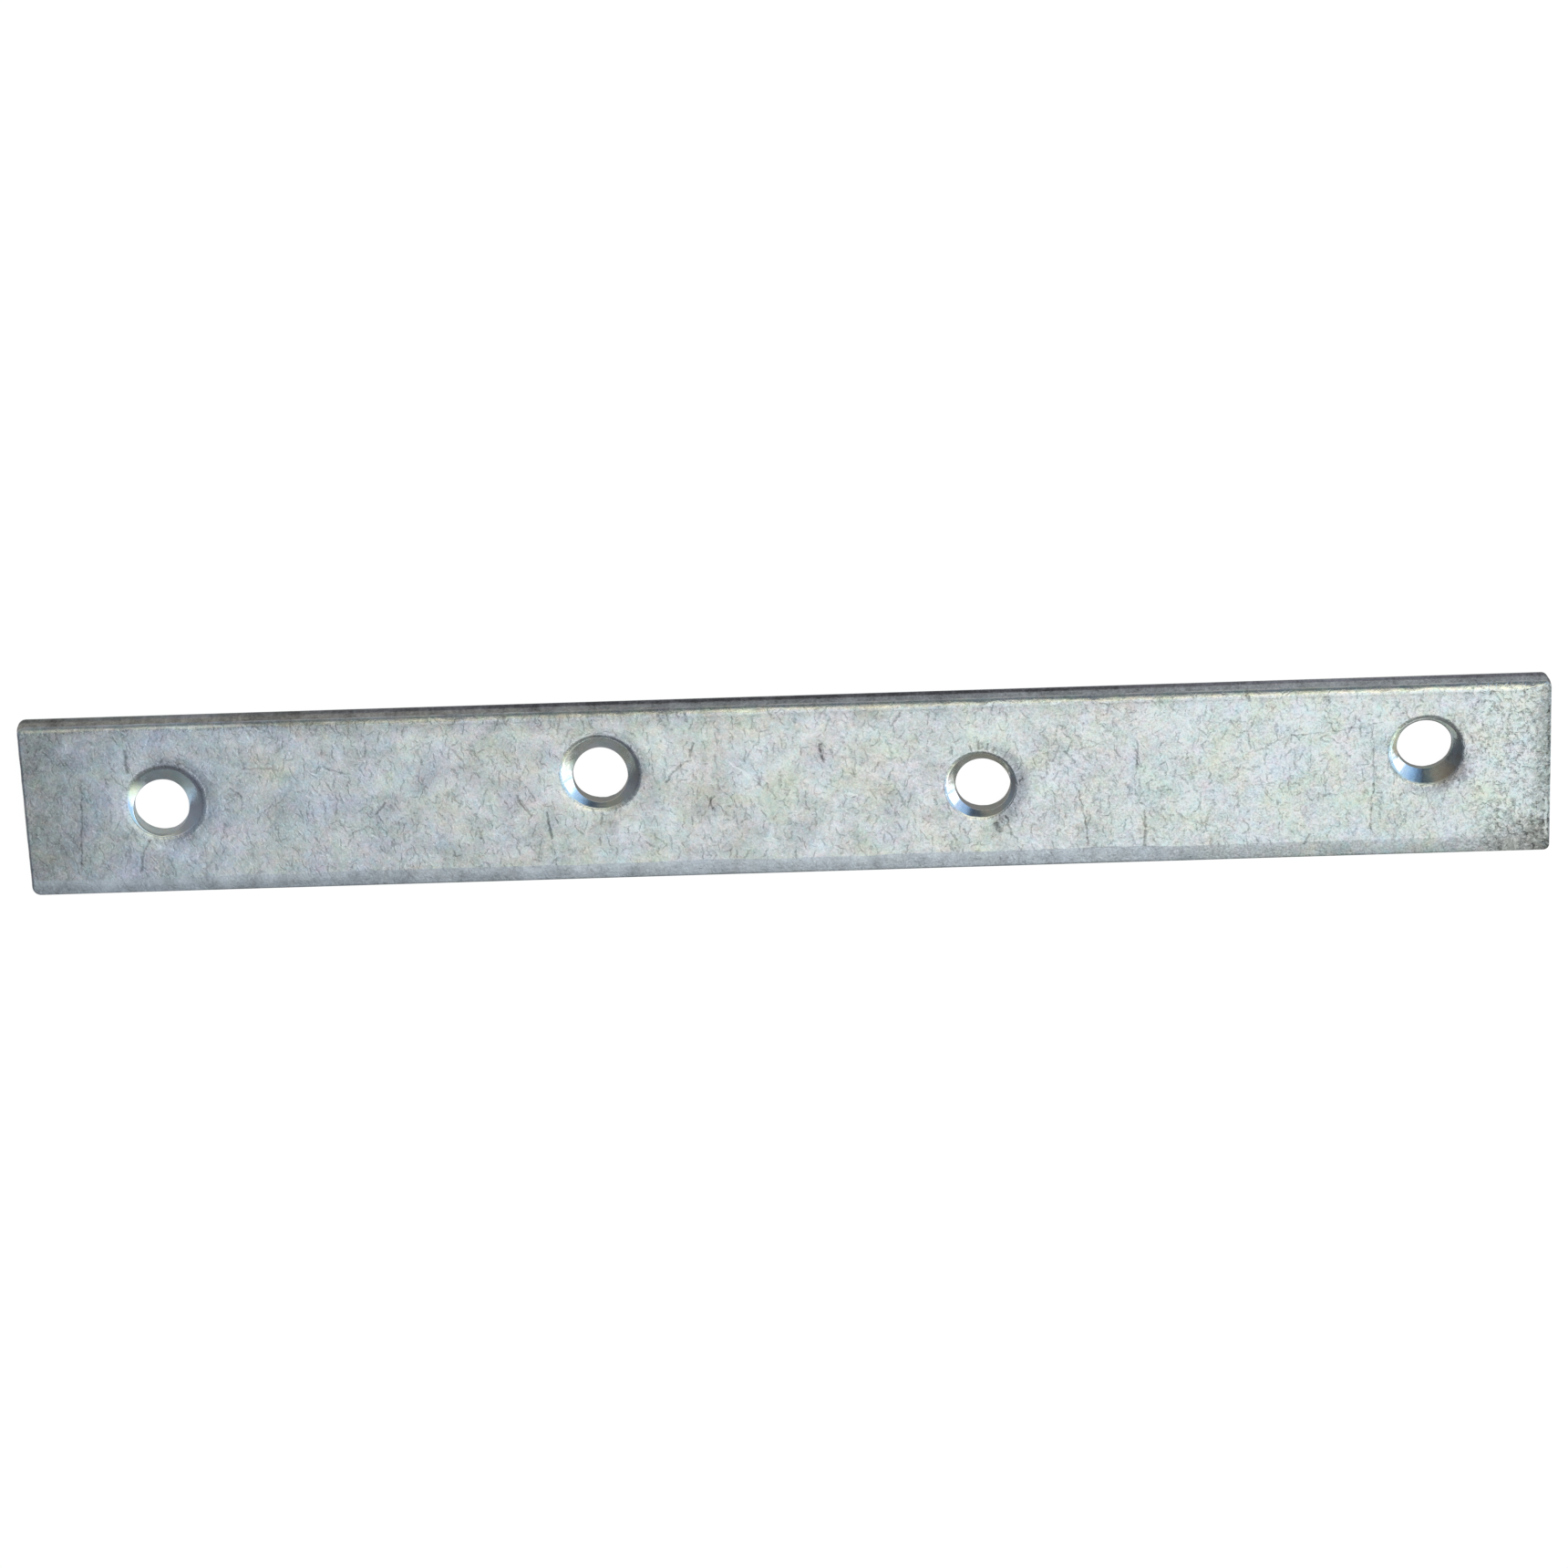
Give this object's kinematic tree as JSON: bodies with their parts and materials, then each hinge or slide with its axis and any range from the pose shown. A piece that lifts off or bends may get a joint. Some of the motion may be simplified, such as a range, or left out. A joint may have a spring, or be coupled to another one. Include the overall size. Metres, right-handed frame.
{
  "type": "mending plate",
  "caption": "Flat zinc-plated steel mending plate with countersunk screw holes in a staggered row, for joining timber edge to edge or end to end.",
  "frame": {"origin": "middle of the flat back, which lies on the surface the plate rests on", "axes": "+X along the length, +Y across the width, +Z out of the countersunk face"},
  "size_m": [0.15, 0.018, 0.0025],
  "materials": {
    "zinc_plated_steel": "bright zinc plating, scuffed in handling, over sheared mild steel strip"
  },
  "bodies": {
    "root": {"mending_plate": "zinc_plated_steel"}
  },
  "joints": []
}
